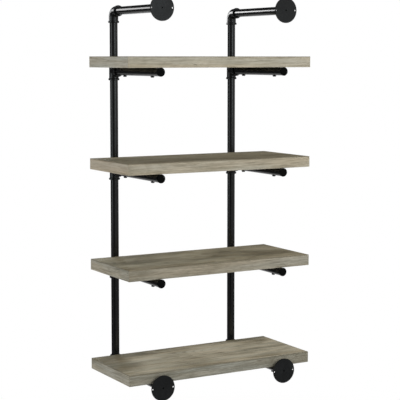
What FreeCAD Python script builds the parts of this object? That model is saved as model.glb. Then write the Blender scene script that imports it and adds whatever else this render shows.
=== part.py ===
import FreeCAD, Part
import Sketcher
import math
import os

# Wall shelf: four boards carried by two black pipe frames that screw to a wall.
# Millimetres. X runs along the wall, +Y points into the wall, +Z is up.
# The origin lies on the wall plane, halfway between the four wall flanges.
# Left and right are as seen from the room. Boards and arms are numbered from the top.

SIZES = {
    # Boards
    "board_width": 610.0,
    "board_depth": 254.0,
    "board_thickness": 32.0,
    "board_pitch": 300.0,
    "board_edge_round": 1.0,
    # How the frames stand to the boards and to the wall
    "board_overhang": 99.0,
    "board_front_gap": 5.0,
    "board_hub_gap": 0.5,
    "top_rise": 135.0,
    "arm_end_gap": 8.0,
    "arm_top_gap": 0.2,
    # Pipe
    "pipe_diameter": 24.0,
    "pipe_wall": 2.0,
    "pipe_end_gap": 0.2,
    # Banded elbows and tees
    "socket_depth": 14.0,
    "thread_clearance": 0.1,
    "fitting_wall": 2.1,
    "collar_height": 2.3,
    "collar_width": 6.0,
    "tee_branch_relief": 0.5,
    "tee_crotch_round": 2.5,
    "tee_run_shoulder": 1.0,
    "tee_branch_shoulder": 7.0,
    "elbow_inner_bend": 3.8,
    "elbow_shoulder": 3.0,
    # Wall flanges
    "flange_diameter": 74.0,
    "flange_thickness": 4.0,
    "flange_edge_round": 0.8,
    "flange_hub_wall": 4.4,
    "flange_hub_height": 16.5,
    "flange_hub_round": 1.5,
    "flange_root_round": 2.5,
    "flange_floor": 5.0,
    "flange_vent_diameter": 4.5,
    "wall_hole_inset": 4.2,
    "wall_hole_diameter": 5.4,
    # Plugs in the open ends of the shelf arms
    "plug_lip": 0.8,
    "plug_face_thickness": 3.0,
    "plug_edge_round": 1.2,
    "plug_shank_length": 14.0,
    "plug_shank_wall": 2.0,
    "plug_clearance": 0.1,
    # Bolts up through the arms and the threaded inserts that take them
    "bolt_inset_front": 35.0,
    "bolt_inset_back": 44.0,
    "bolt_shank_diameter": 6.0,
    "bolt_head_lip": 2.5,
    "bolt_head_height": 4.0,
    "bolt_key_size": 4.0,
    "bolt_key_depth": 2.2,
    "bolt_hole_clearance": 0.4,
    "bolt_engagement": 12.0,
    "insert_wall": 1.9,
    "insert_lip": 1.5,
    "insert_lip_thickness": 1.2,
    "insert_spare_depth": 1.0,
    "insert_clearance": 0.1,
    "insert_end_gap": 0.4,
    # How far a cut runs past the face that it opens
    "cut_overrun": 2.0,
}

BOARD_COUNT = 4
ARM_COUNT = BOARD_COUNT - 1
BOLTS_EACH_WAY = 2
WALL_HOLES_PER_FLANGE = 2
HEXAGON_SIDES = 6
SIDES = {"left": -1, "right": 1}

# Rounds, as shares of the collar's height and of the bolt head's height
collar_round_share = 0.65
neck_round_share = 0.3
bolt_head_round_share = 0.6

# Turns in degrees, and the turns that bring a body's own upright axis into line with an arm
FULL_TURN = 360
HALF_TURN = FULL_TURN / 2
UP = FreeCAD.Vector(0, 0, 1)
INTO_WALL = FreeCAD.Vector(0, 1, 0)
TOWARDS_WALL = FreeCAD.Rotation(UP, INTO_WALL)
TOWARDS_ROOM = FreeCAD.Rotation(UP, -INTO_WALL)
UPSIDE_DOWN = FreeCAD.Rotation(INTO_WALL, HALF_TURN)


class Size:
    """A length to build with: its formula over the sheet's cells, and its value in millimetres."""

    def __init__(self, formula, value):
        self.formula = formula
        self.value = value

    def __add__(self, other):
        return Size("(%s + %s)" % (self.formula, other.formula), self.value + other.value)

    def __sub__(self, other):
        return Size("(%s - %s)" % (self.formula, other.formula), self.value - other.value)

    def __neg__(self):
        return Size("(-1 * %s)" % self.formula, -self.value)

    def __mul__(self, share):
        return Size("(%s * %r)" % (self.formula, share), self.value * share)

    def __truediv__(self, share):
        return Size("(%s / %r)" % (self.formula, share), self.value / share)


ZERO = Size("0", 0.0)


def longer(first, second):
    """The longer of two lengths."""
    return Size("max(%s; %s)" % (first.formula, second.formula), max(first.value, second.value))


document = FreeCAD.newDocument("wall_shelf")


def make_sheet():
    """Writes every driving size into the document's sheet, one named cell each."""
    sheet = document.addObject("Spreadsheet::Sheet", "sizes")
    for row, (name, length) in enumerate(SIZES.items(), start=1):
        sheet.set("A%d" % row, name)
        sheet.set("B%d" % row, str(length))
        sheet.setAlias("B%d" % row, name)
    document.recompute()
    return sheet


sizes = make_sheet()


def size(name):
    """The driving size of that name, as a length to build with."""
    return Size("sizes." + name, float(sizes.get(name)))


# Radii, and the rounds on the collars
pipe_radius = size("pipe_diameter") / 2
pipe_bore_radius = pipe_radius - size("pipe_wall")
socket_radius = pipe_radius + size("thread_clearance")
fitting_radius = socket_radius + size("fitting_wall")
branch_radius = fitting_radius - size("tee_branch_relief")
collar_radius = fitting_radius + size("collar_height")
collar_round = size("collar_height") * collar_round_share
neck_round = size("collar_height") * neck_round_share
bolt_shank_radius = size("bolt_shank_diameter") / 2
bolt_hole_radius = bolt_shank_radius + size("bolt_hole_clearance")
insert_bore_radius = bolt_shank_radius + size("thread_clearance")
insert_radius = insert_bore_radius + size("insert_wall")
insert_lip_radius = insert_radius + size("insert_lip")

# Lengths of the fittings, from where their pipes' axes cross to each mouth
tee_run = pipe_radius + size("tee_run_shoulder") + size("socket_depth")
tee_branch = pipe_radius + size("tee_branch_shoulder") + size("socket_depth")
elbow_bend = fitting_radius + size("elbow_inner_bend")
elbow_reach = elbow_bend + size("elbow_shoulder") + size("socket_depth")

# Length of the inserts, and the distance between the two frames
insert_length = size("bolt_engagement") + size("insert_spare_depth")
upright_spacing = size("board_width") - size("board_overhang") * 2

# Heights, from the wall flanges inwards
arm_drop = pipe_radius + size("arm_top_gap")
frame_height = size("top_rise") + size("board_pitch") * ARM_COUNT + size("board_thickness") + arm_drop
top_arm_height = frame_height / 2
bottom_arm_height = -top_arm_height

# Depths, from the wall plane out into the room
wall_gap = size("flange_hub_height") + size("board_hub_gap")
upright_setback = longer(elbow_reach, tee_branch) + size("board_front_gap")
upright_y = -(wall_gap + size("board_depth") + upright_setback)
board_middle_y = -(wall_gap + size("board_depth") / 2)
front_bolt_y = board_middle_y - size("board_depth") / 2 + size("bolt_inset_front")
back_bolt_y = board_middle_y + size("board_depth") / 2 - size("bolt_inset_back")
bolt_spacing = back_bolt_y - front_bolt_y


def board_top(number):
    """Height of the upper face of a board."""
    return top_arm_height - size("top_rise") - size("board_pitch") * (number - 1)


def board_underside(number):
    """Height of the lower face of a board."""
    return board_top(number) - size("board_thickness")


def arm_height(number):
    """Height of the axis of the arms that carry a board."""
    return board_underside(number) - arm_drop


def upright_x(side):
    """Distance of a frame from the middle of the boards."""
    return upright_spacing / 2 * SIDES[side]


def make_body(label):
    """An empty body whose label is the node's name."""
    body = document.addObject("PartDesign::Body", label)
    body.Label = label
    return body


def place(body, x, y, z, turn=None):
    """Sets a body down at x, y and z, after a turn where one is given."""
    if turn:
        body.Placement.Rotation = turn
    for letter, distance in (("x", x), ("y", y), ("z", z)):
        body.setExpression("Placement.Base." + letter, distance.formula)


def new_sketch(body, name, role):
    """A sketch on one of the body's own base planes."""
    sketch = body.newObject("Sketcher::SketchObject", name)
    plane = [feature for feature in body.Origin.OriginFeatures if feature.Role == role][0]
    sketch.AttachmentSupport = [(plane, "")]
    sketch.MapMode = "FlatFace"
    return sketch


def constrain(sketch, formula, *terms):
    """Adds a constraint to a sketch and binds its value to a formula."""
    index = sketch.addConstraint(Sketcher.Constraint(*terms))
    sketch.setExpression("Constraints[%d]" % index, formula)


def hold_point(sketch, edge, end, x, y):
    """Holds one point of a sketch at x and y from the sketch's origin."""
    for kind, distance, crossing_axis in (("DistanceX", x, -2), ("DistanceY", y, -1)):
        if distance is ZERO:
            sketch.addConstraint(Sketcher.Constraint("PointOnObject", edge, end, crossing_axis))
        elif distance.value > 0:
            constrain(sketch, distance.formula, kind, -1, 1, edge, end, distance.value)
        else:
            back = -distance
            constrain(sketch, back.formula, kind, edge, end, -1, 1, back.value)


def flat_point(x, y):
    """A sketch point as a vector."""
    return FreeCAD.Vector(x.value, y.value, 0)


def draw_outline(sketch, corners):
    """Draws a closed outline of straight edges through the given corners."""
    first = sketch.GeometryCount
    following = corners[1:] + corners[:1]
    for start, finish in zip(corners, following):
        sketch.addGeometry(Part.LineSegment(flat_point(*start), flat_point(*finish)))
    last = sketch.GeometryCount - 1
    for edge in range(first, last):
        sketch.addConstraint(Sketcher.Constraint("Coincident", edge, 2, edge + 1, 1))
    sketch.addConstraint(Sketcher.Constraint("Coincident", last, 2, first, 1))
    for edge, corner in enumerate(corners, start=first):
        hold_point(sketch, edge, 1, *corner)


def draw_circle(sketch, radius, x=ZERO, y=ZERO):
    """Draws a circle and holds its centre and radius."""
    circle = Part.Circle(flat_point(x, y), FreeCAD.Vector(0, 0, 1), radius.value)
    edge = sketch.addGeometry(circle)
    constrain(sketch, radius.formula, "Radius", edge, radius.value)
    if x is ZERO and y is ZERO:
        sketch.addConstraint(Sketcher.Constraint("Coincident", edge, 3, -1, 1))
    else:
        hold_point(sketch, edge, 3, x, y)


def draw_axis(sketch, height, reach):
    """Draws a construction line along the sketch's first direction, to turn a profile about."""
    line = Part.LineSegment(flat_point(ZERO, height), flat_point(reach, height))
    edge = sketch.addGeometry(line, True)
    hold_point(sketch, edge, 1, ZERO, height)
    hold_point(sketch, edge, 2, reach, height)


def finish_feature(body, feature):
    """Makes a feature the body's last one and works it out."""
    body.Tip = feature
    document.recompute()
    return feature


def extrude(body, kind, sketch, length, reverse=False, symmetric=False):
    """Pads or pockets a sketch by a length."""
    feature = body.newObject("PartDesign::" + kind, kind)
    feature.Profile = sketch
    feature.setExpression("Length", length.formula)
    feature.Reversed = reverse
    if symmetric:
        feature.SideType = "Symmetric"
    return finish_feature(body, feature)


def cut_checked(body, cut, *arguments, **settings):
    """Makes a cut and makes sure that it took something away."""
    before = body.Shape.Volume
    feature = cut(body, *arguments, **settings)
    if body.Shape.Volume >= before:
        raise RuntimeError("%s of %s cuts nothing" % (feature.Name, body.Label))
    return feature


def turn_profile(body, kind, sketch, axis):
    """Revolves or grooves a profile a full turn about one of its sketch's axes."""
    feature = body.newObject("PartDesign::" + kind, kind)
    feature.Profile = sketch
    feature.ReferenceAxis = (sketch, [axis])
    feature.Angle = FULL_TURN
    return finish_feature(body, feature)


def sweep(body, kind, profile, path):
    """Runs a profile along a path, to add or to take away."""
    feature = body.newObject("PartDesign::" + kind, kind)
    feature.Profile = profile
    feature.Spine = path
    return finish_feature(body, feature)


def round_edges(body, name, radius, wanted):
    """Rounds those edges of a body that the wanted function picks."""
    base = body.Tip
    numbered = enumerate(base.Shape.Edges, start=1)
    names = ["Edge%d" % number for number, edge in numbered if wanted(edge)]
    if not names:
        raise RuntimeError("%s of %s finds no edge" % (name, body.Label))
    fillet = body.newObject("PartDesign::Fillet", name)
    fillet.Base = (base, names)
    fillet.setExpression("Radius", radius.formula)
    return finish_feature(body, fillet)


def is_ring(edge, radius):
    """Whether an edge is part of a circle of that radius."""
    if not isinstance(edge.Curve, Part.Circle):
        return False
    return math.isclose(edge.Curve.Radius, radius.value, rel_tol=1e-6)


def is_ring_at(edge, radius, axis, distance):
    """Whether an edge is a circle of that radius, that far along one of the body's own axes."""
    slack = pipe_radius.value / 1000
    if not is_ring(edge, radius):
        return False
    return math.isclose(getattr(edge.Curve.Center, axis), distance.value, abs_tol=slack)


def ring_at(radius, axis, distance):
    """A test that picks a circular edge of that radius, that far along one of the body's own axes."""
    return lambda edge: is_ring_at(edge, radius, axis, distance)


def make_board(number):
    """One board: a plain slab with blind holes in its underside for the four inserts."""
    body = make_body("shelf_board_%d" % number)
    half_width = size("board_width") / 2
    half_depth = size("board_depth") / 2
    outline = new_sketch(body, "outline", "XY_Plane")
    draw_outline(outline, [(-half_width, -half_depth), (half_width, -half_depth),
                           (half_width, half_depth), (-half_width, half_depth)])
    extrude(body, "Pad", outline, size("board_thickness"))
    round_edges(body, "edge_break", size("board_edge_round"), lambda edge: True)
    holes = new_sketch(body, "insert_holes", "XY_Plane")
    seats = new_sketch(body, "insert_seats", "XY_Plane")
    for side in SIDES:
        for bolt_y in (front_bolt_y, back_bolt_y):
            place_in_board = (upright_x(side), bolt_y - board_middle_y)
            draw_circle(holes, insert_radius + size("insert_clearance"), *place_in_board)
            draw_circle(seats, insert_lip_radius + size("insert_clearance"), *place_in_board)
    cut_checked(body, extrude, "Pocket", holes, insert_length + size("insert_end_gap"), reverse=True)
    cut_checked(body, extrude, "Pocket", seats, size("insert_lip_thickness"), reverse=True)
    place(body, ZERO, board_middle_y, board_underside(number))
    return body


def make_pipe(label, length, bolt_distances=()):
    """A straight pipe, with holes right through it where bolts pass."""
    body = make_body(label)
    ring = new_sketch(body, "ring", "XY_Plane")
    draw_circle(ring, pipe_radius)
    draw_circle(ring, pipe_bore_radius)
    extrude(body, "Pad", ring, length)
    if bolt_distances:
        holes = new_sketch(body, "bolt_holes", "XZ_Plane")
        for distance in bolt_distances:
            draw_circle(holes, bolt_hole_radius, ZERO, distance)
        through = size("pipe_diameter") + size("cut_overrun") * 2
        cut_checked(body, extrude, "Pocket", holes, through, symmetric=True)
    return body


def make_arm(label, side, height, start_y, end_y, bolted):
    """A pipe that runs from a fitting at the upright towards the wall."""
    bolt_distances = (front_bolt_y - start_y, back_bolt_y - start_y) if bolted else ()
    body = make_pipe(label, end_y - start_y, bolt_distances)
    place(body, upright_x(side), start_y, height, TOWARDS_WALL)
    return body


def make_upright(label, side, low, high):
    """A pipe that stands between two fittings of a frame."""
    body = make_pipe(label, high - low)
    place(body, upright_x(side), upright_y, low)
    return body


def collar_outline(end):
    """The profile of the raised collar at a fitting's mouth, from its axis out."""
    start = end - size("collar_width")
    return [(ZERO, start), (collar_radius, start), (collar_radius, end), (ZERO, end)]


def swapped(corners):
    """An outline with its two directions exchanged."""
    return [(y, x) for x, y in corners]


def socket_outline(mouth):
    """The profile of the socket that a pipe's end screws into, from its axis out."""
    bottom = mouth - size("socket_depth")
    beyond = mouth + size("cut_overrun")
    return [(ZERO, bottom), (socket_radius, bottom), (socket_radius, beyond), (ZERO, beyond)]


def downward(corners):
    """An outline mirrored to the far side of its first axis."""
    return [(x, -y) for x, y in corners]


def turned(body, kind, name, corners, axis, role="YZ_Plane"):
    """Draws a profile and turns it about one of the sketch's own axes."""
    sketch = new_sketch(body, name, role)
    draw_outline(sketch, corners)
    return turn_profile(body, kind, sketch, axis)


def is_crotch(edge):
    """Whether an edge of a tee is part of the curve where its branch leaves its run."""
    return not isinstance(edge.Curve, (Part.Circle, Part.Line))


def make_tee(number, side):
    """A tee: the upright runs through it, and its branch holds the shelf arm."""
    body = make_body("%s_tee_%d" % (side, number))
    turned(body, "Revolution", "run", [(ZERO, -tee_run), (fitting_radius, -tee_run),
                                       (fitting_radius, tee_run), (ZERO, tee_run)], "V_Axis")
    turned(body, "Revolution", "branch", [(ZERO, ZERO), (tee_branch, ZERO), (tee_branch, branch_radius),
                                          (ZERO, branch_radius)], "H_Axis")
    round_edges(body, "crotch_round", size("tee_crotch_round"), is_crotch)
    turned(body, "Revolution", "top_collar", collar_outline(tee_run), "V_Axis")
    turned(body, "Revolution", "bottom_collar", downward(collar_outline(tee_run)), "V_Axis")
    turned(body, "Revolution", "branch_collar", swapped(collar_outline(tee_branch)), "H_Axis")
    round_edges(body, "collar_rounds", collar_round, lambda edge: is_ring(edge, collar_radius))
    run_neck = tee_run - size("collar_width")
    branch_neck = tee_branch - size("collar_width")
    round_edges(body, "neck_rounds", neck_round, lambda edge: (
        is_ring_at(edge, fitting_radius, "z", run_neck)
        or is_ring_at(edge, fitting_radius, "z", -run_neck)
        or is_ring_at(edge, branch_radius, "y", branch_neck)))
    bore_end = tee_run + size("cut_overrun")
    cut_checked(body, turned, "Groove", "run_bore",
                [(ZERO, -bore_end), (pipe_bore_radius, -bore_end), (pipe_bore_radius, bore_end),
                 (ZERO, bore_end)], "V_Axis")
    bore_end = tee_branch + size("cut_overrun")
    cut_checked(body, turned, "Groove", "branch_bore",
                [(ZERO, ZERO), (bore_end, ZERO), (bore_end, pipe_bore_radius), (ZERO, pipe_bore_radius)],
                "H_Axis")
    cut_checked(body, turned, "Groove", "top_socket", socket_outline(tee_run), "V_Axis")
    cut_checked(body, turned, "Groove", "bottom_socket", downward(socket_outline(tee_run)), "V_Axis")
    cut_checked(body, turned, "Groove", "branch_socket", swapped(socket_outline(tee_branch)), "H_Axis")
    place(body, upright_x(side), upright_y, arm_height(number))
    return body


def draw_elbow_path(body, name):
    """The elbow's centre line: up from one mouth, round the bend and out to the other."""
    path = new_sketch(body, name, "YZ_Plane")
    straight = elbow_reach - elbow_bend
    rise_end = flat_point(ZERO, straight)
    bend_centre = flat_point(elbow_bend, straight)
    run_start = flat_point(elbow_bend, elbow_reach)
    path.addGeometry(Part.LineSegment(FreeCAD.Vector(0, 0, 0), rise_end))
    circle = Part.Circle(bend_centre, FreeCAD.Vector(0, 0, 1), elbow_bend.value)
    path.addGeometry(Part.ArcOfCircle(circle, math.pi / 2, math.pi))
    path.addGeometry(Part.LineSegment(run_start, flat_point(elbow_reach, elbow_reach)))
    path.addConstraint(Sketcher.Constraint("Coincident", 0, 1, -1, 1))
    path.addConstraint(Sketcher.Constraint("Coincident", 0, 2, 1, 2))
    path.addConstraint(Sketcher.Constraint("Coincident", 1, 1, 2, 1))
    hold_point(path, 0, 2, ZERO, straight)
    hold_point(path, 1, 3, elbow_bend, straight)
    constrain(path, elbow_bend.formula, "DistanceX", -1, 1, 1, 1, elbow_bend.value)
    hold_point(path, 2, 2, elbow_reach, elbow_reach)
    return path


def turned_about_run(body, kind, name, corners):
    """Turns a profile about the elbow's horizontal mouth axis."""
    sketch = new_sketch(body, name, "YZ_Plane")
    raised = [(along, elbow_reach if out is ZERO else elbow_reach + out) for out, along in corners]
    draw_outline(sketch, raised)
    draw_axis(sketch, elbow_reach, elbow_reach)
    return turn_profile(body, kind, sketch, "Axis0")


def make_elbow(label, side, height, turn=None):
    """An elbow between an upright and the arm that meets a wall flange."""
    body = make_body(label)
    profile = new_sketch(body, "profile", "XY_Plane")
    draw_circle(profile, fitting_radius)
    sweep(body, "AdditivePipe", profile, draw_elbow_path(body, "path"))
    collar_end = size("collar_width")
    turned(body, "Revolution", "lower_collar", [(ZERO, ZERO), (collar_radius, ZERO),
                                                (collar_radius, collar_end), (ZERO, collar_end)], "V_Axis")
    turned_about_run(body, "Revolution", "run_collar", collar_outline(elbow_reach))
    round_edges(body, "collar_rounds", collar_round, lambda edge: is_ring(edge, collar_radius))
    round_edges(body, "neck_rounds", neck_round, lambda edge: (
        is_ring_at(edge, fitting_radius, "z", collar_end)
        or is_ring_at(edge, fitting_radius, "y", elbow_reach - collar_end)))
    bore = new_sketch(body, "bore", "XY_Plane")
    draw_circle(bore, pipe_bore_radius)
    cut_checked(body, sweep, "SubtractivePipe", bore, draw_elbow_path(body, "bore_path"))
    socket = size("socket_depth")
    overrun = size("cut_overrun")
    cut_checked(body, turned, "Groove", "lower_socket",
                [(ZERO, -overrun), (socket_radius, -overrun), (socket_radius, socket), (ZERO, socket)],
                "V_Axis")
    cut_checked(body, turned_about_run, "Groove", "run_socket", socket_outline(elbow_reach))
    place(body, upright_x(side), upright_y, height, turn)
    return body


def make_flange(label, side, height):
    """A wall flange: a flat disc with a hub that the arm's end screws into."""
    body = make_body(label)
    disc_radius = size("flange_diameter") / 2
    hub_radius = socket_radius + size("flange_hub_wall")
    vent_radius = size("flange_vent_diameter") / 2
    disc = size("flange_thickness")
    hub = size("flange_hub_height")
    turned(body, "Revolution", "disc_and_hub",
           [(ZERO, ZERO), (disc_radius, ZERO), (disc_radius, disc), (hub_radius, disc), (hub_radius, hub),
            (ZERO, hub)], "V_Axis")
    round_edges(body, "rim_round", size("flange_edge_round"), ring_at(disc_radius, "z", disc))
    round_edges(body, "hub_round", size("flange_hub_round"), ring_at(hub_radius, "z", hub))
    round_edges(body, "root_round", size("flange_root_round"), ring_at(hub_radius, "z", disc))
    floor = size("flange_floor")
    beyond = hub + size("cut_overrun")
    below = -size("cut_overrun")
    cut_checked(body, turned, "Groove", "socket_and_vent",
                [(ZERO, below), (vent_radius, below), (vent_radius, floor), (socket_radius, floor),
                 (socket_radius, beyond), (ZERO, beyond)], "V_Axis")
    hole = new_sketch(body, "wall_hole", "XY_Plane")
    draw_circle(hole, size("wall_hole_diameter") / 2, disc_radius - size("wall_hole_inset"), ZERO)
    drilled = cut_checked(body, extrude, "Pocket", hole, disc + size("cut_overrun"), reverse=True)
    before = body.Shape.Volume
    pattern = body.newObject("PartDesign::PolarPattern", "wall_holes")
    pattern.Originals = [drilled]
    pattern.Axis = (hole, ["N_Axis"])
    pattern.Angle = FULL_TURN
    pattern.Occurrences = WALL_HOLES_PER_FLANGE
    finish_feature(body, pattern)
    if body.Shape.Volume >= before:
        raise RuntimeError("%s lacks its second wall hole" % label)
    place(body, upright_x(side), ZERO, height, TOWARDS_ROOM)
    return body


def make_plug(number, side):
    """A push-in plug that closes the open end of a shelf arm."""
    body = make_body("%s_arm_plug_%d" % (side, number))
    face_radius = pipe_radius + size("plug_lip")
    shank_radius = pipe_bore_radius - size("plug_clearance")
    core_radius = shank_radius - size("plug_shank_wall")
    shank = size("plug_shank_length")
    face = size("plug_face_thickness")
    turned(body, "Revolution", "face_and_shank",
           [(ZERO, ZERO), (core_radius, ZERO), (core_radius, -shank), (shank_radius, -shank),
            (shank_radius, ZERO), (face_radius, ZERO), (face_radius, face), (ZERO, face)], "V_Axis")
    round_edges(body, "face_round", size("plug_edge_round"), ring_at(face_radius, "z", face))
    place(body, upright_x(side), -(size("arm_end_gap") + face), arm_height(number), TOWARDS_WALL)
    return body


def repeat_at_bolts(body):
    """Repeats a body's one piece at all four bolt places of a board."""
    body.AllowCompound = True
    origin = {feature.Role: feature for feature in body.Origin.OriginFeatures}
    pattern = body.newObject("PartDesign::LinearPattern", "four_places")
    pattern.TransformMode = "Whole shape"
    pattern.Direction = (origin["X_Axis"], [""])
    pattern.setExpression("Length", upright_spacing.formula)
    pattern.Occurrences = BOLTS_EACH_WAY
    pattern.Direction2 = (origin["Y_Axis"], [""])
    pattern.setExpression("Length2", bolt_spacing.formula)
    pattern.Occurrences2 = BOLTS_EACH_WAY
    finish_feature(body, pattern)


def make_bolts(number):
    """The four bolts that pass up through two arms into a board's inserts."""
    body = make_body("shelf_bolts_%d" % number)
    head_radius = bolt_shank_radius + size("bolt_head_lip")
    head = size("bolt_head_height")
    tip = head + size("pipe_diameter") + size("arm_top_gap") + size("bolt_engagement")
    turned(body, "Revolution", "bolt",
           [(ZERO, ZERO), (head_radius, ZERO), (head_radius, head), (bolt_shank_radius, head),
            (bolt_shank_radius, tip), (ZERO, tip)], "V_Axis")
    round_edges(body, "head_round", head * bolt_head_round_share, ring_at(head_radius, "z", ZERO))
    key = new_sketch(body, "key", "XY_Plane")
    corner_radius = size("bolt_key_size") / math.sqrt(3)
    angles = [math.tau * (step + 0.5) / HEXAGON_SIDES for step in range(HEXAGON_SIDES)]
    draw_outline(key, [(corner_radius * math.cos(angle), corner_radius * math.sin(angle))
                       for angle in angles])
    cut_checked(body, extrude, "Pocket", key, size("bolt_key_depth"), reverse=True)
    repeat_at_bolts(body)
    place(body, upright_x("left"), front_bolt_y, arm_height(number) - pipe_radius - head)
    return body


def make_inserts(number):
    """The four threaded inserts in the underside of a board."""
    body = make_body("board_inserts_%d" % number)
    lip = size("insert_lip_thickness")
    turned(body, "Revolution", "insert",
           [(insert_bore_radius, ZERO), (insert_lip_radius, ZERO), (insert_lip_radius, lip),
            (insert_radius, lip), (insert_radius, insert_length), (insert_bore_radius, insert_length)],
           "V_Axis")
    repeat_at_bolts(body)
    place(body, upright_x("left"), front_bolt_y, board_underside(number))
    return body


def make_frame(side):
    """All the pipes, fittings, flanges and plugs of one side."""
    seat = size("socket_depth") - size("pipe_end_gap")
    from_elbow = elbow_reach - seat
    from_tee = tee_run - seat
    flange_end_y = -(size("flange_floor") + size("pipe_end_gap"))
    plug_end_y = -(size("arm_end_gap") + size("plug_face_thickness"))
    bodies = [
        make_flange(side + "_top_flange", side, top_arm_height),
        make_arm(side + "_top_arm", side, top_arm_height, upright_y + from_elbow, flange_end_y, False),
        make_elbow(side + "_top_elbow", side, top_arm_height - elbow_reach),
    ]
    highest = top_arm_height - from_elbow
    for number in range(1, ARM_COUNT + 1):
        lowest = arm_height(number) + from_tee
        bodies.append(make_upright("%s_upright_%d" % (side, number), side, lowest, highest))
        bodies.append(make_tee(number, side))
        arm_start_y = upright_y + tee_branch - seat
        bodies.append(make_arm("%s_shelf_arm_%d" % (side, number), side, arm_height(number), arm_start_y,
                               plug_end_y, True))
        bodies.append(make_plug(number, side))
        highest = arm_height(number) - from_tee
    lowest = bottom_arm_height + from_elbow
    bodies.append(make_upright("%s_upright_%d" % (side, BOARD_COUNT), side, lowest, highest))
    elbow_height = bottom_arm_height + elbow_reach
    bodies.append(make_elbow(side + "_bottom_elbow", side, elbow_height, UPSIDE_DOWN))
    bodies.append(make_arm(side + "_bottom_arm", side, bottom_arm_height, upright_y + from_elbow,
                           flange_end_y, True))
    bodies.append(make_flange(side + "_bottom_flange", side, bottom_arm_height))
    return bodies


def check(bodies):
    """Stops if any object failed or any sub-part is not a valid solid."""
    for item in document.Objects:
        if "Invalid" in item.State or "Error" in item.State:
            raise RuntimeError("%s is %s" % (item.Label, item.State))
    for body in bodies:
        shape = body.Shape
        if shape.isNull() or not shape.isValid() or not shape.Solids:
            raise RuntimeError("%s has no valid solid" % body.Label)


def main():
    """Builds every sub-part, checks it and writes its file."""
    bodies = []
    for number in range(1, BOARD_COUNT + 1):
        bodies += [make_board(number), make_bolts(number), make_inserts(number)]
    for side in SIDES:
        bodies += make_frame(side)
    document.recompute()
    check(bodies)
    os.makedirs("parts", exist_ok=True)
    for body in bodies:
        body.Shape.exportStep("parts/%s.step" % body.Label)
        print("%-24s %d solid(s) %10.1f mm3" % (body.Label, len(body.Shape.Solids), body.Shape.Volume))


main()
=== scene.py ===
"""A wall shelf of four driftwood boards on two black pipe frames, dressed and set in a plain studio."""

import logging
import math
from dataclasses import dataclass
from enum import Enum
from typing import Dict, List, Mapping, Optional, Sequence, Tuple, Union

import bmesh
import bpy
from mathutils import Matrix, Vector


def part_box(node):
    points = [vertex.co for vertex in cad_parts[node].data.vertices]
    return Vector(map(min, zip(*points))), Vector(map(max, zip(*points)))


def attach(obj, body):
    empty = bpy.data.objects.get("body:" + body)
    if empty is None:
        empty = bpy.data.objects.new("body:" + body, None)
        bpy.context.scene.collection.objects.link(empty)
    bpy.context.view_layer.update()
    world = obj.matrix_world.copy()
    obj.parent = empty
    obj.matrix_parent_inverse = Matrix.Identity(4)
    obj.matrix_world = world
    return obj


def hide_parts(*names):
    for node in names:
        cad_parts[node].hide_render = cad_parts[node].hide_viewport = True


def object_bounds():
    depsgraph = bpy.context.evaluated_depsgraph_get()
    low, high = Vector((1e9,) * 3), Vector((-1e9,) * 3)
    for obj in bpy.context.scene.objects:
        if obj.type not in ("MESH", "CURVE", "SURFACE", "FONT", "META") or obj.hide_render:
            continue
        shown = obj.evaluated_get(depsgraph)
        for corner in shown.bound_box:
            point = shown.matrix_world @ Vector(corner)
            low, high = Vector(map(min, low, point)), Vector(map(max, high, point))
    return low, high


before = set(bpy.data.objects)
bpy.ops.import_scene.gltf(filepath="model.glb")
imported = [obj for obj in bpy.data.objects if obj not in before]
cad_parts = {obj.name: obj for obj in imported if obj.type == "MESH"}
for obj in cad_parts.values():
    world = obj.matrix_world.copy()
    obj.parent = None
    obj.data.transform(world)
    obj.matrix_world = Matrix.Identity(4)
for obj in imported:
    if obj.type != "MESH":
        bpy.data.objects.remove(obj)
CAD_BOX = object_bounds()

LOG = logging.getLogger("wall_shelf")

Pair = Tuple[float, float]
Triple = Tuple[float, float, float]
Quad = Tuple[float, float, float, float]
Ring = List[bmesh.types.BMVert]
Value = Union["Wire", float, int, bool, str, Sequence[float], bpy.types.ID]

ZERO: Triple = (0.0, 0.0, 0.0)
BLACK: Triple = (0.0, 0.0, 0.0)
WHITE: Triple = (1.0, 1.0, 1.0)
HALF = 0.5


class Side(Enum):
    """The two pipe frames, named as seen from the room."""

    LEFT = "left"
    RIGHT = "right"


class Grain(Enum):
    """The way that the printed grain runs over a face of a board."""

    ALONG_X = "x"
    ALONG_Y = "y"


# Node trees written as expressions


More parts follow.
